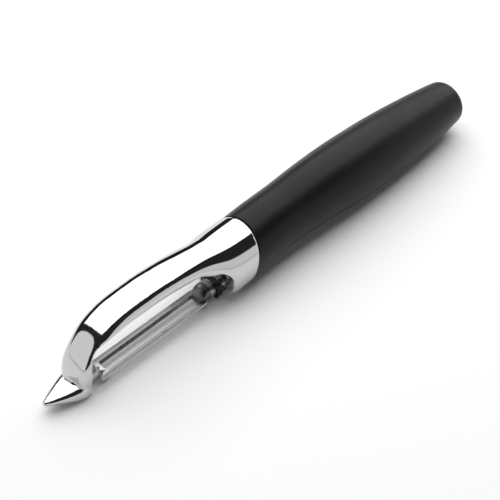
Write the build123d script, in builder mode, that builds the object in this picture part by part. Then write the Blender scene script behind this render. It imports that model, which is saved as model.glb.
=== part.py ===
from build123d import *
import os
from math import cos, hypot, radians, sin, sqrt

# A swivel vegetable peeler: a one-piece cast head whose bow arches over a slotted blade,
# and a round soft-grip handle.
#
# Frame: X runs along the peeler with the nose at -X and the butt of the handle at +X.
# +Z is up: the bow is above, the blade below. The peeler lies on Z = 0, on the flat foot of
# its nose and the belly of its handle. All lengths are in millimetres, all angles in degrees.

# Driving sizes of the whole peeler
overall_length = 195.0
head_length = 82.5  # from the tip of the nose to the middle of the joint
joint_rake = 18.8  # lean of the joint: its top lies further back than its bottom
joint_gap = 0.3  # shadow gap between the head and the handle
overrun = 2.0  # how far a cut runs past what it cuts
fixed_clearance = 0.02  # between parts that are fixed in each other
running_clearance = 0.06  # between a pivot and its bearing
bore_depth_allowance = 0.4  # how much deeper a blind bore is than what sits in it

# Ferrule: the round rear of the head
ferrule_diameter = 22.2
ferrule_lift = 0.15  # clearance under the ferrule
ferrule_length = 10.8  # from the blade window to the joint, along the axis
ferrule_edge_radius = 0.5

# Bow and its front leg
bow_crest_height = 25.1
bow_width = 12.9
bow_depth = 7.0  # full depth of the oval that the bow is the upper part of
leg_width = 11.4
leg_depth = 6.4
window_edge_radius = 0.4  # rounding of the edges round the window
head_section_count = 30

# Window between the bow and the blade
window_length = 56.4  # from the ferrule's face to the wall of the leg
window_height = 20.0  # crown of the window above the table
window_rear_radius = 4.8
window_front_radius = 8.0

# Nose: the pointed eye remover in front of the leg
nose_root_length = 4.38  # from the wall of the leg forward to the crease of the nose
nose_width = 11.0
nose_height = 6.5
nose_tip_radius = 1.0
nose_tip_height = 4.2  # centre of the rounded tip

# Blade: a rolled steel strip with a slot, and a barrel at each end
pivot_height = 3.4
blade_width = 8.3
blade_thickness = 0.6
trough_drop = 1.2  # how far the rims of the trough lie below the pivot axis
trough_sag = 0.8  # depth of the trough below its rims
slot_rear_setback = 3.8  # from the rear end of the blade to the slot
slot_front_setback = 7.0  # from the front end of the blade to the slot
slot_width = 3.3
slot_rear_corner = 1.4
slot_front_corner = 0.3
slot_bevel_width = 0.9
slot_edge_land = 0.15  # blunt face left at the foot of the bevel
rear_barrel_diameter = 6.5
rear_barrel_length = 2.2
rear_slope_length = 3.2
front_barrel_diameter = 5.0
front_barrel_length = 2.9
tongue_margin = 0.1  # how much wider than the slot the front tongue starts, on each side
tongue_setback = 0.4  # flat metal between the slot and the start of the tongue
front_gap = 1.7  # bare pin between the front barrel and the leg
barrel_wrap = 165.0  # how far round each way the strip is rolled where it meets a barrel
slope_section_count = 5

# Spindle, front pin and bush
bush_end_float = 0.12
bush_flange_thickness = 0.9
bush_flange_width = 7.8
bush_flange_height = 6.0
bush_flange_corner = 1.3
bush_sleeve_diameter = 4.6
bush_sleeve_length = 5.4
bush_tab_length = 2.0
bush_tab_height = 0.9
bush_tab_rise = 2.0  # the tab's middle above the pivot axis
spindle_diameter = 2.6
spindle_reach = 5.6  # how far the spindle goes into the bush
front_pin_diameter = 2.2
front_pin_reach = 2.2  # how far the pin goes into the leg
pin_chamfer = 0.3

# Handle
swell_diameter = 23.65  # where the handle is thickest
handle_arch = 2.4  # how far the handle's underside rises at the waist
butt_edge_radius = 3.0
butt_wall = 3.45  # soft skin behind the end of the core
grip_thickness = 2.3  # soft skin over the hard core
grip_front_radius = 0.3
handle_section_count = 24

# Tang: the spigot of the head and the steel rod that locks the core to it
spigot_diameter = 12.0
spigot_length = 14.0
spigot_chamfer = 0.8
rod_diameter = 5.0
rod_length = 62.0
rod_depth_in_head = 20.0
rod_chamfer = 0.6

# Places along X that follow from the sizes above
nose_tip_x = -overall_length / 2
butt_x = overall_length / 2
joint_x = nose_tip_x + head_length
handle_length = butt_x - joint_x
ferrule_axis_height = ferrule_diameter / 2 + ferrule_lift
face_x = joint_x - ferrule_length
wall_x = face_x - window_length
tip_centre_x = nose_tip_x + nose_tip_radius
crease_x = wall_x - nose_root_length
flange_x = face_x - bush_flange_thickness
blade_rear_x = flange_x - bush_end_float
blade_front_x = wall_x + front_gap
rear_slope_x = blade_rear_x - rear_barrel_length
trough_rear_x = rear_slope_x - rear_slope_length
trough_front_x = blade_front_x + front_barrel_length
slot_rear_x = blade_rear_x - slot_rear_setback
slot_front_x = blade_front_x + slot_front_setback
slot_length = slot_rear_x - slot_front_x
tongue_x = slot_front_x - tongue_setback
spigot_end_x = joint_x + spigot_length
rod_front_x = spigot_end_x - rod_depth_in_head

# Arc of the trough's outside, which passes through both rims
trough_depth = trough_drop + trough_sag
trough_radius = ((blade_width / 2) ** 2 + trough_sag**2) / (2 * trough_sag)
trough_rise = trough_radius - trough_depth  # centre of the arc above the pivot axis


def oval_points(half_width, half_height, fullness):
    """Points of a closed outline round the origin; fullness 2 is an ellipse."""
    points = []
    for step in range(16):
        angle = radians(360 * (step + 0.5) / 16 - 90)
        u = abs(cos(angle)) ** (2 / fullness)
        v = abs(sin(angle)) ** (2 / fullness)
        if cos(angle) < 0:
            u = -u
        if sin(angle) < 0:
            v = -v
        points.append((half_width * u, half_height * v))
    return points


def even_stations(rows, count):
    """Rows blended smoothly into count + 1 rows evenly spaced along the line of their centres.

    Each row starts with the x and z of its centre. The blend never swings past a row."""
    travel = [0.0]
    for before, after in zip(rows, rows[1:]):
        travel.append(travel[-1] + hypot(after[0] - before[0], after[1] - before[1]))
    grades = []
    for i in range(len(rows) - 1):
        span = travel[i + 1] - travel[i]
        grades.append([(b - a) / span for a, b in zip(rows[i], rows[i + 1])])
    slopes = [grades[0]]
    for before, after in zip(grades, grades[1:]):
        slopes.append([2 * a * b / (a + b) if a * b > 0 else 0 for a, b in zip(before, after)])
    slopes.append(grades[-1])
    stations = []
    for step in range(count + 1):
        place = travel[-1] * step / count
        i = min(sum(1 for mark in travel if mark <= place), len(rows) - 1)
        span = travel[i] - travel[i - 1]
        t = (place - travel[i - 1]) / span
        station = []
        for a, b, slope_a, slope_b in zip(rows[i - 1], rows[i], slopes[i - 1], slopes[i]):
            rise = a * (2 * t**3 - 3 * t**2 + 1) + b * (3 * t**2 - 2 * t**3)
            turn = slope_a * (t**3 - 2 * t**2 + t) + slope_b * (t**3 - t**2)
            station.append(rise + span * turn)
        stations.append(station)
    return stations


def head_plane(x, z, dive):
    """Plane across the head at (x, z); its normal points to the nose and dives below it."""
    normal = (-cos(radians(dive)), 0, -sin(radians(dive)))
    return Plane(origin=(x, 0, z), x_dir=(0, -1, 0), z_dir=normal)


def joint_plane(shift):
    """Leaning plane of the joint, moved along X by shift; its normal points to the butt."""
    origin = (joint_x + shift, 0, ferrule_axis_height)
    normal = (cos(radians(joint_rake)), 0, -sin(radians(joint_rake)))
    return Plane(origin=origin, x_dir=(0, 1, 0), z_dir=normal)


def across(x, z):
    """Plane across the peeler at (x, z), seen from the butt: its y axis points up."""
    return Plane(origin=(x, 0, z), x_dir=(0, 1, 0), z_dir=(1, 0, 0))


def strip_corners(rim, rim_rise, depth):
    """Corners of the curled strip's section: outer end, bottom, outer end, then the inner three.

    The outside passes through both rims and hangs down to depth; (0, 0) is the pivot axis."""
    radius = (rim**2 + (rim_rise + depth) ** 2) / (2 * (rim_rise + depth))
    centre = radius - depth
    inner = (radius - blade_thickness) / radius
    corners = [(-rim, rim_rise), (0, -depth), (rim, rim_rise)]
    return corners + [(inner * y, centre + inner * (z - centre)) for y, z in corners]


def slope_sections(x_from, strip_from, x_to, strip_to):
    """Places and corners of the sections of a slope that eases from one strip to another."""
    sections = []
    for step in range(slope_section_count + 1):
        t = step / slope_section_count
        ease = t * t * (3 - 2 * t)
        strip = [a + ease * (b - a) for a, b in zip(strip_from, strip_to)]
        sections.append((x_from + t * (x_to - x_from), strip_corners(*strip)))
    return sections


# Stations of the collar, where the ferrule narrows into the bow: place forward of the ferrule's
# face as a share of the ferrule's length, height of the section's centre as a share of the
# ferrule's axis height, width and depth as shares of the ferrule's diameter.
collar_station_shares = [
    (-1.60, 1.000, 1.000, 1.000),
    (-0.85, 1.000, 1.000, 1.000),
    (-0.37, 1.000, 1.000, 1.000),
    (-0.15, 1.000, 0.994, 1.000),
    (0.00, 1.012, 0.966, 0.990),
    (0.12, 1.125, 0.862, 0.900),
    (0.31, 1.292, 0.742, 0.768),
    (0.53, 1.538, 0.662, 0.535),
]
# Stations along the bow: place along the window (0 at the ferrule's face, 1 at the leg's wall),
# height of the centre as a share of the crest's, dive of the section, width and depth as
# shares of the bow's, and fullness.
bow_station_shares = [
    (0.155, 0.772, 0, 1.055, 1.190, 2.0),
    (0.220, 0.804, 0, 1.020, 1.080, 2.1),
    (0.330, 0.833, 0, 1.010, 1.030, 2.2),
    (0.520, 0.861, 0, 0.995, 1.000, 2.2),
    (0.700, 0.848, 5, 0.975, 1.000, 2.2),
    (0.810, 0.803, 16, 0.955, 0.980, 2.2),
    (0.890, 0.722, 33, 0.930, 0.950, 2.3),
]
# Stations down the leg: place along the window, height of the centre as a share of the crest's,
# dive, width as a share of the leg's, fullness.
leg_station_shares = [
    (0.952, 0.592, 50, 1.03, 2.5),
    (1.001, 0.425, 64, 1.03, 2.8),
    (1.024, 0.245, 78, 0.97, 3.0),
    (1.028, 0.080, 84, 0.74, 3.0),
]
# Underside of the bow: place along the window, height as a share of the window's.
window_crown_shares = [
    (0.00, 0.785),
    (0.14, 0.826),
    (0.28, 0.905),
    (0.43, 0.972),
    (0.61, 1.000),
    (0.77, 0.993),
    (0.89, 0.935),
    (1.00, 0.850),
]
# Nose: place from the crease (0) to the tip's centre (1), width and height as shares of the
# nose's, height of the centre as a share of the nose's height, fullness.
nose_station_shares = [
    (-0.55, 0.78, 1.00, 0.495, 2.8),
    (0.00, 0.95, 0.98, 0.490, 2.9),
    (0.42, 0.69, 0.70, 0.545, 2.6),
    (0.82, 0.37, 0.42, 0.615, 2.3),
]
# Last section of the nose, inside the ball of its tip, as shares of the ball's radius
nose_end_place_share = 0.4
nose_end_size_share = 0.86
# Stations along the handle: place from the joint (0) to the butt (1), diameter as a share of
# the swell's, lift of the underside as a share of the arch.
handle_station_shares = [
    (-0.060, 0.912, 0.08),
    (-0.018, 0.905, 0.17),
    (0.062, 0.888, 0.69),
    (0.163, 0.880, 1.00),
    (0.324, 0.939, 0.70),
    (0.487, 1.000, 0.06),
    (0.600, 0.985, 0.00),
    (0.713, 0.940, 0.06),
    (0.811, 0.882, 0.15),
    (0.973, 0.710, 0.89),
    (1.000, 0.668, 1.06),
]

# Sections of the head as x, z, dive, half width, half depth and fullness
head_rows = []
for place, height, width, depth in collar_station_shares:
    x = face_x - place * ferrule_length
    half = ferrule_diameter / 2
    head_rows.append((x, height * ferrule_axis_height, 0, width * half, depth * half, 2))
for place, height, dive, width, depth, fullness in bow_station_shares:
    x = face_x - place * window_length
    z = height * bow_crest_height
    head_rows.append((x, z, dive, width * bow_width / 2, depth * bow_depth / 2, fullness))
for place, height, dive, width, fullness in leg_station_shares:
    x = face_x - place * window_length
    z = height * bow_crest_height
    head_rows.append((x, z, dive, width * leg_width / 2, leg_depth / 2, fullness))
# Sections of the handle as x, z and radius
handle_rows = []
for place, width, lift in handle_station_shares:
    radius = width * swell_diameter / 2
    handle_rows.append((joint_x + place * handle_length, lift * handle_arch + radius, radius))

# Window: the space over the blade, drawn from the side and open at the bottom
with BuildPart() as window_cut:
    with BuildSketch(Plane.XZ.offset(-ferrule_diameter)):
        with BuildLine():
            crown = [
                (face_x - place * window_length, height * window_height)
                for place, height in window_crown_shares
            ]
            underside = Spline(*crown)
            Polyline(underside @ 1, (wall_x, -overrun), (face_x, -overrun), underside @ 0)
        make_face()
    extrude(amount=2 * ferrule_diameter)
    upper_corners = window_cut.edges().filter_by(Axis.Y).sort_by(Axis.Z)[-2:]
    fillet(upper_corners.sort_by(Axis.X)[0], radius=window_front_radius)
    rear_edges = window_cut.edges().filter_by(Axis.Y).group_by(Axis.X)[-1]
    fillet(rear_edges.sort_by(Axis.Z)[-1], radius=window_rear_radius)

# Nose: lofted to a small ball at its tip, and cut off where the window begins
with BuildPart() as nose:
    for place, width, height, rise, fullness in nose_station_shares:
        x = crease_x + place * (tip_centre_x - crease_x)
        with BuildSketch(head_plane(x, rise * nose_height, 0)):
            with BuildLine():
                outline = oval_points(width * nose_width / 2, height * nose_height / 2, fullness)
                Spline(*outline, periodic=True)
            make_face()
    with BuildSketch(head_plane(tip_centre_x - nose_end_place_share * nose_tip_radius, nose_tip_height, 0)):
        with BuildLine():
            end_radius = nose_end_size_share * nose_tip_radius
            Spline(*oval_points(end_radius, end_radius, 2), periodic=True)
        make_face()
    loft()
    with Locations((tip_centre_x, 0, nose_tip_height)):
        Sphere(nose_tip_radius)
    split(bisect_by=across(wall_x, 0), keep=Keep.BOTTOM)

# Head: ferrule, bow, leg and nose in one casting, with the spigot behind it
with BuildPart() as head_casting:
    for x, z, dive, half_width, half_depth, fullness in even_stations(head_rows, head_section_count):
        with BuildSketch(head_plane(x, z, dive)):
            with BuildLine():
                Spline(*oval_points(half_width, half_depth, fullness), periodic=True)
            make_face()
    loft()
    split(bisect_by=joint_plane(-joint_gap / 2), keep=Keep.BOTTOM)
    fillet(head_casting.edges().sort_by(Axis.X)[-1], radius=ferrule_edge_radius)
    add(window_cut.part, mode=Mode.SUBTRACT)
    # One smooth chain of edges runs round the window, so rounding one of them rounds them all
    window_edges = head_casting.edges().filter_by(lambda edge: wall_x < edge.center().X < face_x)
    fillet(window_edges.sort_by(SortBy.LENGTH)[-1], radius=window_edge_radius)
    add(nose.part)
    split(bisect_by=Plane.XY, keep=Keep.TOP)
    # Spigot and the bores for the rod, the bush and the front pin
    with BuildSketch(across(joint_x - spigot_length / 2, ferrule_axis_height)):
        Circle(spigot_diameter / 2)
    extrude(amount=spigot_end_x - (joint_x - spigot_length / 2))
    chamfer(head_casting.edges().sort_by(Axis.X)[-1], length=spigot_chamfer)
    with BuildSketch(across(rod_front_x - bore_depth_allowance, ferrule_axis_height)):
        Circle(rod_diameter / 2 + fixed_clearance)
    extrude(amount=rod_depth_in_head + overrun, mode=Mode.SUBTRACT)
    with BuildSketch(across(face_x - overrun, pivot_height)):
        Circle(bush_sleeve_diameter / 2 + fixed_clearance)
    extrude(amount=overrun + bush_sleeve_length + bore_depth_allowance, mode=Mode.SUBTRACT)
    with BuildSketch(across(wall_x - front_pin_reach - bore_depth_allowance, pivot_height)):
        Circle(front_pin_diameter / 2 + running_clearance)
    extrude(amount=front_pin_reach + bore_depth_allowance + overrun, mode=Mode.SUBTRACT)

# Bush: nylon flange, stop tab and sleeve, fixed in the ferrule's face
with BuildPart() as spindle_bush:
    with BuildSketch(across(flange_x, pivot_height)):
        RectangleRounded(bush_flange_width, bush_flange_height, bush_flange_corner)
        with Locations((-bush_flange_width / 2, bush_tab_rise)):
            Rectangle(2 * bush_tab_length, bush_tab_height)
    extrude(amount=bush_flange_thickness)
    with BuildSketch(across(flange_x, pivot_height)):
        Circle(bush_sleeve_diameter / 2)
    extrude(amount=bush_flange_thickness + bush_sleeve_length)
    with BuildSketch(across(flange_x - overrun, pivot_height)):
        Circle(spindle_diameter / 2 + running_clearance)
    bore_length = overrun + bush_flange_thickness + bush_sleeve_length + overrun
    extrude(amount=bore_length, mode=Mode.SUBTRACT)

# Strips of the blade where its slopes end: half width of the rims, rise of the rims above the
# pivot axis, and how far the bottom hangs below it
rear_radius = rear_barrel_diameter / 2
front_radius = front_barrel_diameter / 2
curl_width_share = sin(radians(barrel_wrap))
curl_rise_share = -cos(radians(barrel_wrap))
rear_strip = (curl_width_share * rear_radius, curl_rise_share * rear_radius, rear_radius)
front_strip = (curl_width_share * front_radius, curl_rise_share * front_radius, front_radius)
trough_strip = (blade_width / 2, -trough_drop, trough_depth)
tongue_rim = slot_width / 2 + tongue_margin
tongue_strip = (tongue_rim, trough_rise - sqrt(trough_radius**2 - tongue_rim**2), trough_depth)

# Blade: trough, rear slope, front tongue and barrels of one rolled strip
with BuildPart() as blade:
    for x, corners in slope_sections(trough_rear_x, trough_strip, rear_slope_x, rear_strip):
        with BuildSketch(across(x, pivot_height)):
            with BuildLine():
                outer = ThreePointArc(*corners[:3])
                inner = ThreePointArc(*corners[3:])
                Line(outer @ 0, inner @ 0)
                Line(outer @ 1, inner @ 1)
            make_face()
    loft()
    for x, corners in slope_sections(trough_front_x, front_strip, tongue_x, tongue_strip):
        with BuildSketch(across(x, pivot_height)):
            with BuildLine():
                outer = ThreePointArc(*corners[:3])
                inner = ThreePointArc(*corners[3:])
                Line(outer @ 0, inner @ 0)
                Line(outer @ 1, inner @ 1)
            make_face()
    loft()
    with BuildSketch(across(trough_front_x, pivot_height)):
        with BuildLine():
            corners = strip_corners(*trough_strip)
            outer = ThreePointArc(*corners[:3])
            inner = ThreePointArc(*corners[3:])
            Line(outer @ 0, inner @ 0)
            Line(outer @ 1, inner @ 1)
        make_face()
    extrude(amount=trough_rear_x - trough_front_x)
    with BuildSketch(across(blade_front_x, pivot_height)):
        Circle(front_radius)
        Circle(front_radius - blade_thickness, mode=Mode.SUBTRACT)
    extrude(amount=front_barrel_length)
    with BuildSketch(across(rear_slope_x, pivot_height)):
        Circle(rear_radius)
        Circle(rear_radius - blade_thickness, mode=Mode.SUBTRACT)
    extrude(amount=rear_barrel_length)
    # Slot, with a bevel ground along each of its upper edges
    with BuildSketch(Plane.XY):
        with Locations(((slot_front_x + slot_rear_x) / 2, 0)):
            slot = Rectangle(slot_length, slot_width)
        fillet(slot.vertices().group_by(Axis.X)[0], radius=slot_front_corner)
        fillet(slot.vertices().group_by(Axis.X)[-1], radius=slot_rear_corner)
    extrude(amount=pivot_height, mode=Mode.SUBTRACT)
    slot_edge = slot_width / 2
    bevel_edge = slot_edge + slot_bevel_width
    foot_rise = trough_rise - sqrt(trough_radius**2 - slot_edge**2) + slot_edge_land
    top_rise = trough_rise - sqrt((trough_radius - blade_thickness) ** 2 - bevel_edge**2)
    for side in (-1, 1):
        with BuildSketch(across(slot_front_x + slot_front_corner, pivot_height)):
            with BuildLine():
                Polyline(
                    (side * slot_edge, foot_rise),
                    (side * bevel_edge, top_rise),
                    (side * slot_edge, top_rise + blade_thickness),
                    close=True,
                )
            make_face()
        extrude(amount=slot_length - slot_front_corner - slot_rear_corner, mode=Mode.SUBTRACT)

# Spindle: a plug pressed into the rear barrel and a thinner journal that turns in the bush
with BuildPart() as rear_spindle:
    with BuildSketch(across(rear_slope_x, pivot_height)):
        Circle(rear_radius - blade_thickness - fixed_clearance)
    extrude(amount=rear_barrel_length)
    with BuildSketch(across(rear_slope_x, pivot_height)):
        Circle(spindle_diameter / 2)
    extrude(amount=rear_barrel_length + bush_end_float + spindle_reach)
    chamfer(rear_spindle.edges().sort_by(Axis.X)[-1], length=pin_chamfer)

# Front pin: a plug pressed into the front barrel and a journal that turns in the leg
with BuildPart() as front_pivot_pin:
    with BuildSketch(across(blade_front_x, pivot_height)):
        Circle(front_radius - blade_thickness - fixed_clearance)
    extrude(amount=front_barrel_length)
    with BuildSketch(across(wall_x - front_pin_reach, pivot_height)):
        Circle(front_pin_diameter / 2)
    extrude(amount=front_pin_reach + front_gap + front_barrel_length)
    chamfer(front_pivot_pin.edges().sort_by(Axis.X)[0], length=pin_chamfer)

# Core: the hard inside of the handle, bored for the spigot and the rod
with BuildPart() as handle_core:
    for x, z, radius in even_stations(handle_rows, handle_section_count):
        with BuildSketch(across(x, z)):
            Circle(radius - grip_thickness)
    loft()
    split(bisect_by=joint_plane(joint_gap / 2), keep=Keep.TOP)
    split(bisect_by=across(butt_x - butt_wall, 0), keep=Keep.BOTTOM)
    core_body = handle_core.part
    with BuildSketch(across(joint_x - spigot_length, ferrule_axis_height)):
        Circle(spigot_diameter / 2 + fixed_clearance)
    extrude(amount=2 * spigot_length + bore_depth_allowance, mode=Mode.SUBTRACT)
    with BuildSketch(across(joint_x, ferrule_axis_height)):
        Circle(rod_diameter / 2 + fixed_clearance)
    extrude(amount=rod_front_x + rod_length + bore_depth_allowance - joint_x, mode=Mode.SUBTRACT)

# Grip: the soft skin moulded over the core and closed round its butt
with BuildPart() as handle_grip:
    for x, z, radius in even_stations(handle_rows, handle_section_count):
        with BuildSketch(across(x, z)):
            Circle(radius)
    loft()
    split(bisect_by=joint_plane(joint_gap / 2), keep=Keep.TOP)
    fillet(handle_grip.edges().sort_by(Axis.X)[-1], radius=butt_edge_radius)
    front_edge = handle_grip.edges().filter_by(GeomType.BSPLINE).sort_by(Axis.X)[0]
    fillet(front_edge, radius=grip_front_radius)
    add(core_body, mode=Mode.SUBTRACT)

# Tang rod: steel, pressed into the spigot and the core
with BuildPart() as tang_rod:
    with BuildSketch(across(rod_front_x, ferrule_axis_height)):
        Circle(rod_diameter / 2)
    extrude(amount=rod_length)
    chamfer(tang_rod.edges().filter_by(GeomType.CIRCLE), length=rod_chamfer)

head_casting.part.label = "head_casting"
spindle_bush.part.label = "spindle_bush"
tang_rod.part.label = "tang_rod"
handle_core.part.label = "handle_core"
handle_grip.part.label = "handle_grip"
blade.part.label = "blade"
rear_spindle.part.label = "rear_spindle"
front_pivot_pin.part.label = "front_pivot_pin"

os.makedirs("parts", exist_ok=True)
export_step(head_casting.part, "parts/head_casting.step")
export_step(spindle_bush.part, "parts/spindle_bush.step")
export_step(tang_rod.part, "parts/tang_rod.step")
export_step(handle_core.part, "parts/handle_core.step")
export_step(handle_grip.part, "parts/handle_grip.step")
export_step(blade.part, "parts/blade.step")
export_step(rear_spindle.part, "parts/rear_spindle.step")
export_step(front_pivot_pin.part, "parts/front_pivot_pin.step")
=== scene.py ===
from math import cos, pi, radians, sin, tan

import bpy
from mathutils import Matrix, Vector


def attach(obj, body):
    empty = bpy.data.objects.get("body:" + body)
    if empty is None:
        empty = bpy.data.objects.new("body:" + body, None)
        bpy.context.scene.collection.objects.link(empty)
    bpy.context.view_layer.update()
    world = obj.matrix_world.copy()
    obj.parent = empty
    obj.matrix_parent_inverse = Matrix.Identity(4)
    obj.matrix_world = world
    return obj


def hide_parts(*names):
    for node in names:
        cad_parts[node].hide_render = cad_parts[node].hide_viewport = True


bl_info = {
    "name": "Vegetable Peeler",
    "version": (1, 0, 0),
    "blender": (4, 5, 0),
    "location": "3D View > Sidebar > Peeler",
    "description": "Dresses a swivel vegetable peeler in chrome, ground steel and soft black grip",
    "category": "Object",
}

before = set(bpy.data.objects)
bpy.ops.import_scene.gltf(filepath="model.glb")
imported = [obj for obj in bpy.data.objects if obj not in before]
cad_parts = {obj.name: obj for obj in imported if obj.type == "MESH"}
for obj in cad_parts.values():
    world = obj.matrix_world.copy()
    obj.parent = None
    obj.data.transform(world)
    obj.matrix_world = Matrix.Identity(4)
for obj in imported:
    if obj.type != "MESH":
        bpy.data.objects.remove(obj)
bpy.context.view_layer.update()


class PeelerCamera(bpy.types.PropertyGroup):
    """Where the camera stands."""

    azimuth: bpy.props.FloatProperty(
        name="Azimuth", description="Turn round the peeler; 0 looks along +Y",
        default=radians(313.34), unit="ROTATION"
    )
    elevation: bpy.props.FloatProperty(
        name="Elevation", description="Height of the view above the horizon",
        default=radians(42.30), unit="ROTATION"
    )
    roll: bpy.props.FloatProperty(
        name="Roll", description="Turn of the camera about its own axis",
        default=radians(-0.28), unit="ROTATION"
    )
    distance: bpy.props.FloatProperty(
        name="Distance", description="From the aim point to the camera",
        default=0.500, unit="LENGTH"
    )
    aim: bpy.props.FloatVectorProperty(
        name="Aim", description="Point in the middle of the picture",
        default=(-0.0103, -0.0027, 0.0103), subtype="TRANSLATION"
    )
    lens: bpy.props.FloatProperty(
        name="Lens", description="Focal length in millimetres",
        default=110.8, unit="CAMERA"
    )


class PeelerStudio(bpy.types.PropertyGroup):
    """Table, softbox and the pale cards that the chrome mirrors."""

    table_size: bpy.props.FloatProperty(
        name="Table size", description="Side of the square table top",
        default=8.0, unit="LENGTH"
    )
    table_colour: bpy.props.FloatVectorProperty(
        name="Table colour", description="White of the table top",
        default=(0.94, 0.94, 0.94), subtype="COLOR"
    )
    table_drop: bpy.props.FloatProperty(
        name="Table drop", description="How far the table top lies under the peeler",
        default=0.0001, unit="LENGTH"
    )
    table_roughness: bpy.props.FloatProperty(
        name="Table roughness", description="Roughness of the table top",
        default=0.6
    )
    table_specular: bpy.props.FloatProperty(
        name="Table specular", description="Gloss of the table top",
        default=0.2
    )
    table_glow: bpy.props.FloatProperty(
        name="Table glow", description="White that the camera and mirrors add to the table",
        default=0.035
    )
    room_colour: bpy.props.FloatVectorProperty(
        name="Room colour", description="Light from the room round the table",
        default=(0.05, 0.05, 0.05), subtype="COLOR"
    )
    dark_light: bpy.props.FloatProperty(
        name="Dark light", description="What chrome mirrors where nothing pale stands",
        default=0.025
    )
    softbox_from: bpy.props.FloatVectorProperty(
        name="Softbox from", description="Front left corner of the softbox",
        default=(-0.55, -0.40, 1.0), subtype="TRANSLATION"
    )
    softbox_to: bpy.props.FloatVectorProperty(
        name="Softbox to", description="Far right corner of the softbox",
        default=(2.60, 2.10, 1.0), subtype="TRANSLATION"
    )
    softbox_light: bpy.props.FloatProperty(
        name="Softbox light", description="How bright the softbox looks; 1 is white",
        default=2.12
    )
    card_azimuths: bpy.props.FloatVectorProperty(
        name="Card azimuths", description="Where the three pale cards stand, from +X", size=3,
        default=(radians(-62), radians(-12), radians(160)), unit="ROTATION"
    )
    card_elevations: bpy.props.FloatVectorProperty(
        name="Card elevations", description="Heights of the cards' middles", size=3,
        default=(radians(0), radians(-3), radians(5)), unit="ROTATION"
    )
    card_radii: bpy.props.FloatVectorProperty(
        name="Card radii", description="Half the angle that each round card fills", size=3,
        default=(radians(24), radians(40), radians(42)), unit="ROTATION"
    )
    card_lights: bpy.props.FloatVectorProperty(
        name="Card lights", description="How bright each card looks; 1 is white",
        size=3, default=(0.85, 1.0, 0.95)
    )
    card_softness: bpy.props.FloatProperty(
        name="Card softness", description="Half the angle over which a card's edge fades",
        default=radians(2), unit="ROTATION"
    )


# Sections of the smooth sweep from the ferrule into the bow: x, height of the middle,
# half width and half depth
COLLAR_SECTIONS = (
    (-0.0060, 0.01125, 0.01110, 0.01110),
    (-0.0140, 0.01125, 0.01110, 0.01110),
    (-0.0190, 0.01130, 0.01105, 0.01110),
    (-0.0230, 0.01160, 0.01075, 0.01090),
    (-0.0265, 0.01275, 0.00985, 0.00990),
    (-0.0300, 0.01530, 0.00850, 0.00775),
    (-0.0335, 0.01790, 0.00735, 0.00555),
    (-0.0375, 0.01970, 0.00675, 0.00420),
    (-0.0420, 0.02060, 0.00655, 0.00375),
    (-0.0480, 0.02125, 0.00650, 0.00358),
    (-0.0560, 0.02150, 0.00645, 0.00352),
)
COLLAR_SIDES = 48
COLLAR_LEVELS = 3
# The smoothing starts at COLLAR_FROM on the bow, grows over COLLAR_FADE, shrinks again over
# COLLAR_REAR_FADE and ends at COLLAR_TO, which leans with the joint by COLLAR_RAKE
COLLAR_FROM = -0.0470
COLLAR_FADE = 0.0080
COLLAR_TO = -0.0160
COLLAR_REAR_FADE = 0.0015
COLLAR_RAKE = tan(radians(18.8))
COLLAR_MIDDLE = COLLAR_SECTIONS[0][1]
# It takes only skin this near to the sweep, and facing at least this much the same way
COLLAR_REACH = 0.0016
COLLAR_FACING = 0.80
# Corners of the head's mesh that are nearer than this are one corner
MERGE_DISTANCE = 0.000001
SHARP_ANGLE = radians(12)
# Sections of the hood that closes the top of the blade's rear curl: x, height of the middle,
# half width and half height
HOOD_SECTIONS = (
    (-0.02700, 0.00340, 0.00331, 0.00331),
    (-0.02950, 0.00340, 0.00329, 0.00329),
    (-0.03080, 0.00336, 0.00322, 0.00315),
    (-0.03190, 0.00315, 0.00300, 0.00250),
    (-0.03270, 0.00270, 0.00250, 0.00170),
    (-0.03320, 0.00220, 0.00180, 0.00090),
    (-0.03350, 0.00190, 0.00090, 0.00035),
)
HOOD_SIDES = 24
HOOD_LEVELS = 2
# Levels between which a noise fades in, shares, scales and details of the shared effects
HAIR_STRETCH_SHARE = 0.04
HAIR_LEVELS = (0.60, 0.72)
CLOUD_LEVELS = (0.42, 0.70)
CLOUD_SHARE = 0.8
BAND_SCALE = 160
BAND_LEVELS = (0.25, 0.75)
BAND_SHARE = 0.80
MARK_LEVELS = (0.15, 0.60)
WEAR_SCALE = 55
WEAR_LEVELS = (0.35, 0.65)
LINT_SCALE = 420
LINT_DOT_LEVELS = (0.02, 0.09)
LINT_PATCH_LEVELS = (0.50, 0.62)
WAVE_DETAIL = 1
FINE_DETAIL = 2
MARK_DETAIL = 3
CLOUD_DETAIL = 4


def principled(name):
    """A new material, its nodes, links and Principled shader."""
    material = bpy.data.materials.new(name)
    material.use_nodes = True
    nodes = material.node_tree.nodes
    return material, nodes, material.node_tree.links, nodes["Principled BSDF"]


def dress(node, material):
    """Gives a CAD node a better material."""
    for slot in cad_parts[node].material_slots:
        slot.material = material


def direction(azimuth, elevation):
    """Unit vector to a place in the room; azimuth turns from +X to +Y."""
    return Vector((cos(azimuth) * cos(elevation), sin(azimuth) * cos(elevation), sin(elevation)))


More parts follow.
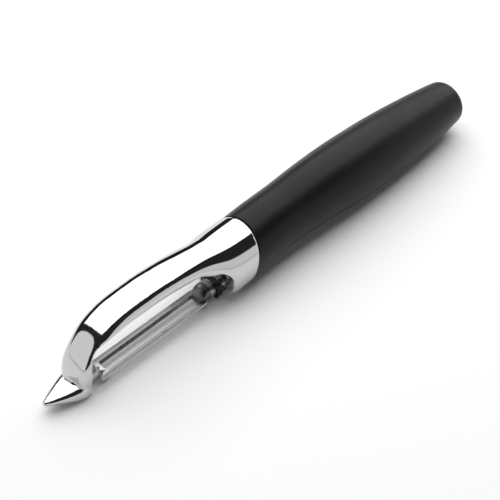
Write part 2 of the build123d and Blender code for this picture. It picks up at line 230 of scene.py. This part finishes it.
class PEELER_OT_stage(bpy.types.Operator):
    """Builds the table, the softbox, the room and the camera"""

    bl_idname = "peeler.stage"
    bl_label = "Table, lamp and camera"

    def execute(self, context):
        self.table(context)
        self.softbox(context)
        self.room(context)
        self.camera(context)
        context.scene.view_settings.view_transform = "Standard"
        return {"FINISHED"}

    def table(self, context):
        """A white table top under the peeler."""
        studio = context.scene.peeler_studio
        bpy.ops.object.select_all(action="DESELECT")
        bpy.ops.mesh.primitive_plane_add(size=studio.table_size, location=(0, 0, -studio.table_drop))
        table = context.object
        table.name = "table_top"
        material, nodes, links, shader = principled("table_white")
        shader.inputs["Base Color"].default_value = (*studio.table_colour, 1)
        shader.inputs["Roughness"].default_value = studio.table_roughness
        shader.inputs["Specular IOR Level"].default_value = studio.table_specular
        shader.inputs["Emission Color"].default_value = (1, 1, 1, 1)
        path = nodes.new("ShaderNodeLightPath")
        camera_ray, glossy_ray = path.outputs["Is Camera Ray"], path.outputs["Is Glossy Ray"]
        direct = joined(nodes, links, "MAXIMUM", camera_ray, glossy_ray)
        glow = joined(nodes, links, "MULTIPLY", direct, studio.table_glow)
        links.new(glow, shader.inputs["Emission Strength"])
        table.data.materials.append(material)

    def softbox(self, context):
        """A level softbox; its energy is worked out from how bright its face looks."""
        studio = context.scene.peeler_studio
        near, far = Vector(studio.softbox_from), Vector(studio.softbox_to)
        data = bpy.data.lights.new("softbox", "AREA")
        data.shape = "RECTANGLE"
        data.size = far.x - near.x
        data.size_y = far.y - near.y
        data.energy = studio.softbox_light * pi * data.size * data.size_y
        lamp = bpy.data.objects.new("softbox", data)
        lamp.location = (near + far) / 2
        context.scene.collection.objects.link(lamp)

    def room(self, context):
        """White for the camera, round pale cards in the dark for mirrors, dim light for the rest."""
        studio = context.scene.peeler_studio
        world = bpy.data.worlds.new("room")
        world.use_nodes = True
        nodes, links = world.node_tree.nodes, world.node_tree.links
        path = nodes.new("ShaderNodeLightPath")
        coords = nodes.new("ShaderNodeTexCoord")
        mirrored = None
        cards = zip(studio.card_azimuths, studio.card_elevations, studio.card_radii, studio.card_lights)
        for azimuth, elevation, radius, light in cards:
            facing = nodes.new("ShaderNodeVectorMath")
            facing.operation = "DOT_PRODUCT"
            facing.inputs[1].default_value = direction(azimuth, elevation)
            links.new(coords.outputs["Generated"], facing.inputs[0])
            edge = nodes.new("ShaderNodeMapRange")
            edge.interpolation_type = "SMOOTHSTEP"
            edge.inputs["From Min"].default_value = cos(radius + studio.card_softness)
            edge.inputs["From Max"].default_value = cos(radius - studio.card_softness)
            edge.inputs["To Min"].default_value = studio.dark_light
            edge.inputs["To Max"].default_value = light
            links.new(facing.outputs["Value"], edge.inputs["Value"])
            if mirrored is None:
                mirrored = edge.outputs["Result"]
            else:
                mirrored = joined(nodes, links, "MAXIMUM", mirrored, edge.outputs["Result"])
        glossy = nodes.new("ShaderNodeMix")
        glossy.data_type = "RGBA"
        glossy.inputs["A"].default_value = (*studio.room_colour, 1)
        links.new(path.outputs["Is Glossy Ray"], glossy.inputs["Factor"])
        links.new(mirrored, glossy.inputs["B"])
        seen = nodes.new("ShaderNodeMix")
        seen.data_type = "RGBA"
        seen.inputs["B"].default_value = (1, 1, 1, 1)
        links.new(path.outputs["Is Camera Ray"], seen.inputs["Factor"])
        links.new(glossy.outputs["Result"], seen.inputs["A"])
        links.new(seen.outputs["Result"], nodes["Background"].inputs["Color"])
        context.scene.world = world

    def camera(self, context):
        """Looks at the aim point from the photograph's angle."""
        view = context.scene.peeler_camera
        back = Vector(
            (
                sin(view.azimuth) * cos(view.elevation),
                -cos(view.azimuth) * cos(view.elevation),
                sin(view.elevation),
            )
        )
        right = Vector((cos(view.azimuth), sin(view.azimuth), 0))
        up = back.cross(right)
        rolled_right = right * cos(view.roll) + up * sin(view.roll)
        rolled_up = back.cross(rolled_right)
        data = bpy.data.cameras.new("camera")
        data.lens = view.lens
        camera = bpy.data.objects.new("camera", data)
        context.scene.collection.objects.link(camera)
        turn = Matrix((rolled_right, rolled_up, back)).transposed().to_4x4()
        camera.matrix_world = Matrix.Translation(Vector(view.aim) + back * view.distance) @ turn
        context.scene.camera = camera


class PeelerChrome(bpy.types.PropertyGroup):
    """Polished chrome of the head."""

    colour: bpy.props.FloatVectorProperty(
        name="Colour", description="What the chrome mirrors of white",
        default=(0.58, 0.58, 0.585), subtype="COLOR"
    )
    smooth: bpy.props.FloatProperty(
        name="Smooth", description="Roughness where the polish is clean",
        default=0.035
    )
    smudged: bpy.props.FloatProperty(
        name="Smudged", description="Roughness where fingers touched it",
        default=0.075
    )
    cloud_scale: bpy.props.FloatProperty(
        name="Cloud scale", description="Scale of the cloudy finger marks",
        default=70
    )
    line_scale: bpy.props.FloatProperty(
        name="Line scale", description="Scale of the hairlines",
        default=1500
    )
    wave_scale: bpy.props.FloatProperty(
        name="Wave scale", description="Scale of the casting's faint waves",
        default=180
    )
    ripple: bpy.props.FloatProperty(
        name="Ripple", description="Height of the casting's faint waves",
        default=0.000002, unit="LENGTH"
    )


class PeelerSteel(bpy.types.PropertyGroup):
    """Ground steel of the blade and turned steel of the pins."""

    # The steel's colour is partly its own reflectance and partly painted shade: it is written darker
    # than the steel to stand in for the dark reflections on the blade
    colour: bpy.props.FloatVectorProperty(
        name="Colour", description="What the steel mirrors of white",
        default=(0.44, 0.436, 0.425), subtype="COLOR"
    )
    # Painted shade: the rear curl's steel is written near black to stand in for the dark reflection it
    # catches under the bow, not for a darker steel
    curl_painted_shade_colour: bpy.props.FloatVectorProperty(
        name="Curl colour", description="Steel of the rear curl, as dark as the photograph shows it",
        default=(0.13, 0.13, 0.13), subtype="COLOR"
    )
    smooth: bpy.props.FloatProperty(
        name="Smooth", description="Roughness between the grinding marks",
        default=0.24
    )
    ground: bpy.props.FloatProperty(
        name="Ground", description="Roughness in the grinding marks",
        default=0.36
    )
    ground_scale: bpy.props.FloatProperty(
        name="Ground scale", description="Scale of the grinding marks on the blade",
        default=2600
    )
    turned_scale: bpy.props.FloatProperty(
        name="Turned scale", description="Scale of the turning marks on the pins and the rod",
        default=6000
    )
    mark_length: bpy.props.FloatProperty(
        name="Mark length", description="Scale along a mark as a share of the scale across it",
        default=0.06
    )
    mark_depth: bpy.props.FloatProperty(
        name="Mark depth", description="Depth of the grinding marks",
        default=0.0000008, unit="LENGTH"
    )


class PeelerGrip(bpy.types.PropertyGroup):
    """Soft black skin of the handle, its core and the nylon bush."""

    skin_colour: bpy.props.FloatVectorProperty(
        name="Skin colour", description="Black of the soft skin",
        default=(0.0055, 0.0055, 0.0062), subtype="COLOR"
    )
    core_colour: bpy.props.FloatVectorProperty(
        name="Core colour", description="Dark grey of the hard core",
        default=(0.030, 0.030, 0.032), subtype="COLOR"
    )
    nylon_colour: bpy.props.FloatVectorProperty(
        name="Nylon colour", description="Black of the bush",
        default=(0.006, 0.006, 0.006), subtype="COLOR"
    )
    lint_colour: bpy.props.FloatVectorProperty(
        name="Lint colour", description="Grey of the dust in the skin's grain",
        default=(0.045, 0.045, 0.045), subtype="COLOR"
    )
    smooth: bpy.props.FloatProperty(
        name="Smooth", description="Roughness of worn skin",
        default=0.34
    )
    matte: bpy.props.FloatProperty(
        name="Matte", description="Roughness of fresh skin",
        default=0.41
    )
    skin_specular: bpy.props.FloatProperty(
        name="Skin specular", description="Gloss of the soft skin",
        default=0.20
    )
    plastic_specular: bpy.props.FloatProperty(
        name="Plastic specular", description="Gloss of the core and the bush",
        default=0.45
    )
    skin_scale: bpy.props.FloatProperty(
        name="Skin scale", description="Scale of the soft skin's grain",
        default=4200
    )
    core_scale: bpy.props.FloatProperty(
        name="Core scale", description="Scale of the core's grain",
        default=2000
    )
    nylon_scale: bpy.props.FloatProperty(
        name="Nylon scale", description="Scale of the bush's grain",
        default=5200
    )
    grain: bpy.props.FloatProperty(
        name="Grain", description="Height of the skin's fine grain",
        default=0.000008, unit="LENGTH"
    )


def new_group(name, inputs, outputs):
    """A shader node group with float inputs after its Vector, and float outputs."""
    group = bpy.data.node_groups.new(name, "ShaderNodeTree")
    group.interface.new_socket(name="Vector", in_out="INPUT", socket_type="NodeSocketVector")
    for socket in inputs:
        group.interface.new_socket(name=socket, in_out="INPUT", socket_type="NodeSocketFloat")
    for socket in outputs:
        group.interface.new_socket(name=socket, in_out="OUTPUT", socket_type="NodeSocketFloat")
    return group, group.nodes, group.links


def remap(nodes, links, value, low, high, to_low, to_high):
    """Smooth step of a value between two levels; a limit may be a number or a socket."""
    step = nodes.new("ShaderNodeMapRange")
    step.interpolation_type = "SMOOTHSTEP"
    links.new(value, step.inputs["Value"])
    limits = (("From Min", low), ("From Max", high), ("To Min", to_low), ("To Max", to_high))
    for name, limit in limits:
        if isinstance(limit, bpy.types.NodeSocket):
            links.new(limit, step.inputs[name])
        else:
            step.inputs[name].default_value = limit
    return step.outputs["Result"]


def noise(nodes, links, vector, scale, detail):
    """Fractal noise over a vector; the scale is a number or a socket."""
    texture = nodes.new("ShaderNodeTexNoise")
    texture.inputs["Detail"].default_value = detail
    links.new(vector, texture.inputs["Vector"])
    if isinstance(scale, bpy.types.NodeSocket):
        links.new(scale, texture.inputs["Scale"])
    else:
        texture.inputs["Scale"].default_value = scale
    return texture.outputs["Fac"]


def joined(nodes, links, operation, first, second):
    """Two values joined by a math node."""
    math = nodes.new("ShaderNodeMath")
    math.operation = operation
    for socket, value in zip(math.inputs, (first, second)):
        if isinstance(value, bpy.types.NodeSocket):
            links.new(value, socket)
        else:
            socket.default_value = value
    return math.outputs["Value"]


def smudge_group():
    """Node group: cloudy finger marks and hairlines that change the gloss of a polished face."""
    group = bpy.data.node_groups.get("smudges")
    if group:
        return group
    group, nodes, links = new_group(
        "smudges", ("Cloud Scale", "Line Scale", "Smooth", "Rough"), ("Roughness",)
    )
    inside, outside = nodes.new("NodeGroupInput"), nodes.new("NodeGroupOutput")
    clouds = noise(nodes, links, inside.outputs["Vector"], inside.outputs["Cloud Scale"], CLOUD_DETAIL)
    stretch = nodes.new("ShaderNodeVectorMath")
    stretch.operation = "MULTIPLY"
    stretch.inputs[1].default_value = (HAIR_STRETCH_SHARE, 1, 1)
    links.new(inside.outputs["Vector"], stretch.inputs[0])
    hairs = noise(nodes, links, stretch.outputs["Vector"], inside.outputs["Line Scale"], FINE_DETAIL)
    lines = remap(nodes, links, hairs, *HAIR_LEVELS, 0, 1)
    cloudy = remap(nodes, links, clouds, *CLOUD_LEVELS, 0, CLOUD_SHARE)
    worn = joined(nodes, links, "MAXIMUM", cloudy, lines)
    rough = remap(nodes, links, worn, 0, 1, inside.outputs["Smooth"], inside.outputs["Rough"])
    links.new(rough, outside.inputs["Roughness"])
    return group


def marks_group():
    """Node group: parallel grinding or turning marks across X, deeper in some bands than others."""
    group = bpy.data.node_groups.get("tool_marks")
    if group:
        return group
    group, nodes, links = new_group("tool_marks", ("Mark Scale", "Length"), ("Marks",))
    inside, outside = nodes.new("NodeGroupInput"), nodes.new("NodeGroupOutput")
    parts = nodes.new("ShaderNodeSeparateXYZ")
    links.new(inside.outputs["Vector"], parts.inputs["Vector"])
    across = nodes.new("ShaderNodeCombineXYZ")
    links.new(parts.outputs["X"], across.inputs["X"])
    for axis in ("Y", "Z"):
        shortened = joined(nodes, links, "MULTIPLY", parts.outputs[axis], inside.outputs["Length"])
        links.new(shortened, across.inputs[axis])
    fine = noise(nodes, links, across.outputs["Vector"], inside.outputs["Mark Scale"], MARK_DETAIL)
    bands = noise(nodes, links, inside.outputs["Vector"], BAND_SCALE, FINE_DETAIL)
    depth = remap(nodes, links, bands, *BAND_LEVELS, BAND_SHARE, 1)
    marks = joined(nodes, links, "MULTIPLY", fine, depth)
    links.new(marks, outside.inputs["Marks"])
    return group


def grain_group():
    """Node group: fine matte grain of a moulded plastic, with gloss where it is worn and lint."""
    group = bpy.data.node_groups.get("moulded_grain")
    if group:
        return group
    group, nodes, links = new_group(
        "moulded_grain", ("Grain Scale", "Smooth", "Rough"), ("Roughness", "Grain", "Lint")
    )
    inside, outside = nodes.new("NodeGroupInput"), nodes.new("NodeGroupOutput")
    grain = noise(nodes, links, inside.outputs["Vector"], inside.outputs["Grain Scale"], FINE_DETAIL)
    worn = noise(nodes, links, inside.outputs["Vector"], WEAR_SCALE, CLOUD_DETAIL)
    rough = remap(nodes, links, worn, *WEAR_LEVELS, inside.outputs["Smooth"], inside.outputs["Rough"])
    cells = nodes.new("ShaderNodeTexVoronoi")
    cells.inputs["Scale"].default_value = LINT_SCALE
    links.new(inside.outputs["Vector"], cells.inputs["Vector"])
    dots = remap(nodes, links, cells.outputs["Distance"], *LINT_DOT_LEVELS, 1, 0)
    patches = remap(nodes, links, worn, *LINT_PATCH_LEVELS, 0, 1)
    links.new(rough, outside.inputs["Roughness"])
    links.new(grain, outside.inputs["Grain"])
    links.new(joined(nodes, links, "MULTIPLY", dots, patches), outside.inputs["Lint"])
    return group


def place_group(nodes, links, tree, **values):
    """Puts a node group into a material on Object coordinates, with its own values."""
    coords = nodes.new("ShaderNodeTexCoord")
    holder = nodes.new("ShaderNodeGroup")
    holder.node_tree = tree
    links.new(coords.outputs["Object"], holder.inputs["Vector"])
    for name, value in values.items():
        holder.inputs[name.replace("_", " ")].default_value = value
    return holder.outputs


def bump(nodes, links, height, distance, shader):
    """Raises a surface by a height map that is distance high."""
    node = nodes.new("ShaderNodeBump")
    node.inputs["Strength"].default_value = 1
    node.inputs["Distance"].default_value = distance
    links.new(height, node.inputs["Height"])
    links.new(node.outputs["Normal"], shader.inputs["Normal"])


def merge_corners():
    """Merges the loose corners of the active object's mesh and marks its sharp edges."""
    bpy.ops.object.mode_set(mode="EDIT")
    bpy.ops.mesh.select_all(action="SELECT")
    bpy.ops.mesh.remove_doubles(threshold=MERGE_DISTANCE)
    bpy.ops.mesh.select_all(action="DESELECT")
    bpy.ops.mesh.select_mode(type="EDGE")
    bpy.ops.mesh.edges_select_sharp(sharpness=SHARP_ANGLE)
    bpy.ops.mesh.mark_sharp()
    bpy.ops.object.mode_set(mode="OBJECT")


def copy_normals(piece, source, mapping, group=""):
    """Gives a piece the normals of another object, by its vertex group where one is named."""
    bpy.ops.object.select_all(action="DESELECT")
    piece.select_set(True)
    bpy.context.view_layer.objects.active = piece
    copier = piece.modifiers.new("normals", "DATA_TRANSFER")
    copier.object = source
    copier.use_loop_data = True
    copier.data_types_loops = {"CUSTOM_NORMAL"}
    copier.loop_mapping = mapping
    copier.vertex_group = group
    bpy.ops.object.modifier_apply(modifier=copier.name)


def swept_tube(sections, sides, levels, ends):
    """A smooth round tube along X through sections of x, middle height, half width and depth.

    The ends are NGON for closed ones or NOTHING for open ones.
    """
    bpy.ops.object.select_all(action="DESELECT")
    bpy.ops.mesh.primitive_circle_add(
        vertices=sides, radius=1, fill_type=ends, rotation=(0, pi / 2, 0)
    )
    tube = bpy.context.object
    bpy.ops.object.transform_apply(rotation=True)
    bpy.ops.object.mode_set(mode="EDIT")
    bpy.ops.mesh.select_all(action="SELECT")
    before = (0, 0, 1, 1)
    for section in sections:
        x, z, half_width, half_depth = section
        if section != sections[0]:
            bpy.ops.mesh.extrude_region_move()
        stretch = (1, half_width / before[2], half_depth / before[3])
        bpy.ops.transform.resize(value=stretch, center_override=(before[0], 0, before[1]))
        bpy.ops.transform.translate(value=(x - before[0], 0, z - before[1]))
        before = section
    bpy.ops.mesh.select_all(action="SELECT")
    bpy.ops.mesh.normals_make_consistent(inside=False)
    bpy.ops.object.mode_set(mode="OBJECT")
    bpy.ops.object.shade_smooth()
    finer = tube.modifiers.new("finer", "SUBSURF")
    finer.levels = levels
    finer.render_levels = levels
    bpy.ops.object.modifier_apply(modifier=finer.name)
    return tube


def eased(share):
    """Smooth step from 0 to 1."""
    share = min(max(share, 0), 1)
    return share * share * (3 - 2 * share)


class PEELER_OT_head(bpy.types.Operator):
    """Gives the cast head its polished chrome"""

    bl_idname = "peeler.head"
    bl_label = "Chromed head"

    def execute(self, context):
        chrome = context.scene.peeler_chrome
        material, nodes, links, shader = principled("polished_chrome")
        shader.inputs["Base Color"].default_value = (*chrome.colour, 1)
        shader.inputs["Metallic"].default_value = 1
        wear = place_group(
            nodes, links, smudge_group(),
            Cloud_Scale=chrome.cloud_scale, Line_Scale=chrome.line_scale,
            Smooth=chrome.smooth, Rough=chrome.smudged,
        )
        links.new(wear["Roughness"], shader.inputs["Roughness"])
        coords = nodes.new("ShaderNodeTexCoord")
        waves = noise(nodes, links, coords.outputs["Object"], chrome.wave_scale, WAVE_DETAIL)
        bump(nodes, links, waves, chrome.ripple, shader)
        dress("head_casting", material)
        return {"FINISHED"}


class PEELER_OT_collar(bpy.types.Operator):
    """Smooths the shading of the chrome from the round ferrule into the bow, on a merged copy"""

    bl_idname = "peeler.collar"
    bl_label = "Collar sweep"

    def execute(self, context):
        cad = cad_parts["head_casting"]
        bpy.ops.object.select_all(action="DESELECT")
        cad.select_set(True)
        context.view_layer.objects.active = cad
        bpy.ops.object.duplicate()
        head = context.object
        head.name = "head_chrome"
        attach(head, "handle")
        merge_corners()
        copy_normals(head, cad, "TOPOLOGY")
        sweep = swept_tube(COLLAR_SECTIONS, COLLAR_SIDES, COLLAR_LEVELS, "NOTHING")
        self.weigh(head, sweep)
        copy_normals(head, sweep, "POLYINTERP_NEAREST", "collar")
        bpy.data.objects.remove(sweep)
        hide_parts("head_casting")
        return {"FINISHED"}

    def weigh(self, head, sweep):
        """Marks the skin of the collar: near the sweep, facing as it does, and fading at both ends."""
        group = head.vertex_groups.new(name="collar")
        for vertex in head.data.vertices:
            front = eased((vertex.co.x - COLLAR_FROM) / COLLAR_FADE)
            leaned = vertex.co.x - (vertex.co.z - COLLAR_MIDDLE) * COLLAR_RAKE
            rear = eased((COLLAR_TO - leaned) / COLLAR_REAR_FADE)
            weight = min(front, rear)
            if weight == 0:
                continue
            found, _, normal, _ = sweep.closest_point_on_mesh(vertex.co, distance=COLLAR_REACH)
            if found and abs(normal.dot(vertex.normal)) > COLLAR_FACING:
                group.add([vertex.index], weight, "REPLACE")


class PEELER_OT_blade(bpy.types.Operator):
    """Gives the blade its ground steel and the pins and the rod their turned steel"""

    bl_idname = "peeler.blade"
    bl_label = "Blade and pins"

    def execute(self, context):
        steel = context.scene.peeler_steel
        for name, nodes_dressed, scale in (
            ("ground_steel", ("blade",), steel.ground_scale),
            ("turned_steel", ("rear_spindle", "front_pivot_pin", "tang_rod"), steel.turned_scale),
        ):
            material, nodes, links, shader = principled(name)
            # Partly painted shade: this steel colour is darker than the steel itself, standing in for
            # dark reflections on the blade
            shader.inputs["Base Color"].default_value = (*steel.colour, 1)
            shader.inputs["Metallic"].default_value = 1
            marks = place_group(
                nodes, links, marks_group(), Mark_Scale=scale, Length=steel.mark_length
            )["Marks"]
            rough = remap(nodes, links, marks, *MARK_LEVELS, steel.smooth, steel.ground)
            links.new(rough, shader.inputs["Roughness"])
            bump(nodes, links, marks, steel.mark_depth, shader)
            for node in nodes_dressed:
                dress(node, material)
        return {"FINISHED"}


class PEELER_OT_hood(bpy.types.Operator):
    """Closes the top of the blade's rear curl with a tapering steel hood, its colour darkened as
    painted shade
    """

    bl_idname = "peeler.hood"
    bl_label = "Hood of the rear curl"

    def execute(self, context):
        steel = context.scene.peeler_steel
        hood = swept_tube(HOOD_SECTIONS, HOOD_SIDES, HOOD_LEVELS, "NGON")
        hood.name = "blade_curl_hood"
        shaded = bpy.data.materials["ground_steel"].copy()
        shaded.name = "steel_painted_shade"
        shader = shaded.node_tree.nodes["Principled BSDF"]
        # Painted shade: the hood's base colour is darkened to stand in for the dark reflection of the
        # curl under the bow
        shader.inputs["Base Color"].default_value = (*steel.curl_painted_shade_colour, 1)
        hood.data.materials.append(shaded)
        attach(hood, "swivel_blade")
        return {"FINISHED"}


class PEELER_OT_handle(bpy.types.Operator):
    """Gives the grip, its core and the bush their black plastics"""

    bl_idname = "peeler.handle"
    bl_label = "Grip, core and bush"

    def execute(self, context):
        grip = context.scene.peeler_grip
        for name, node, colour, specular, scale in (
            ("soft_grip", "handle_grip", grip.skin_colour, grip.skin_specular, grip.skin_scale),
            ("core_plastic", "handle_core", grip.core_colour, grip.plastic_specular, grip.core_scale),
            ("black_nylon", "spindle_bush", grip.nylon_colour, grip.plastic_specular, grip.nylon_scale),
        ):
            material, nodes, links, shader = principled(name)
            shader.inputs["Specular IOR Level"].default_value = specular
            wear = place_group(
                nodes, links, grain_group(), Grain_Scale=scale, Smooth=grip.smooth, Rough=grip.matte
            )
            tint = nodes.new("ShaderNodeMix")
            tint.data_type = "RGBA"
            tint.inputs["A"].default_value = (*colour, 1)
            tint.inputs["B"].default_value = (*grip.lint_colour, 1)
            links.new(wear["Lint"], tint.inputs["Factor"])
            links.new(tint.outputs["Result"], shader.inputs["Base Color"])
            links.new(wear["Roughness"], shader.inputs["Roughness"])
            bump(nodes, links, wear["Grain"], grip.grain, shader)
            dress(node, material)
        return {"FINISHED"}


SETTINGS = (
    ("peeler_camera", PeelerCamera),
    ("peeler_studio", PeelerStudio),
    ("peeler_chrome", PeelerChrome),
    ("peeler_steel", PeelerSteel),
    ("peeler_grip", PeelerGrip),
)
OPERATORS = (
    PEELER_OT_stage,
    PEELER_OT_head,
    PEELER_OT_collar,
    PEELER_OT_blade,
    PEELER_OT_hood,
    PEELER_OT_handle,
)


class PEELER_PT_panel(bpy.types.Panel):
    """Lists the pieces of the peeler"""

    bl_idname = "PEELER_PT_panel"
    bl_label = "Vegetable Peeler"
    bl_space_type = "VIEW_3D"
    bl_region_type = "UI"
    bl_category = "Peeler"

    def draw(self, context):
        for operator in OPERATORS:
            self.layout.operator(operator.bl_idname)


def register():
    for name, group in SETTINGS:
        bpy.utils.register_class(group)
        setattr(bpy.types.Scene, name, bpy.props.PointerProperty(type=group))
    for operator in OPERATORS:
        bpy.utils.register_class(operator)
    bpy.utils.register_class(PEELER_PT_panel)


def unregister():
    bpy.utils.unregister_class(PEELER_PT_panel)
    for operator in reversed(OPERATORS):
        bpy.utils.unregister_class(operator)
    for name, group in reversed(SETTINGS):
        delattr(bpy.types.Scene, name)
        bpy.utils.unregister_class(group)


def main():
    register()
    bpy.ops.peeler.stage()
    bpy.ops.peeler.head()
    bpy.ops.peeler.collar()
    bpy.ops.peeler.blade()
    bpy.ops.peeler.hood()
    bpy.ops.peeler.handle()


if __name__ == "__main__":
    main()
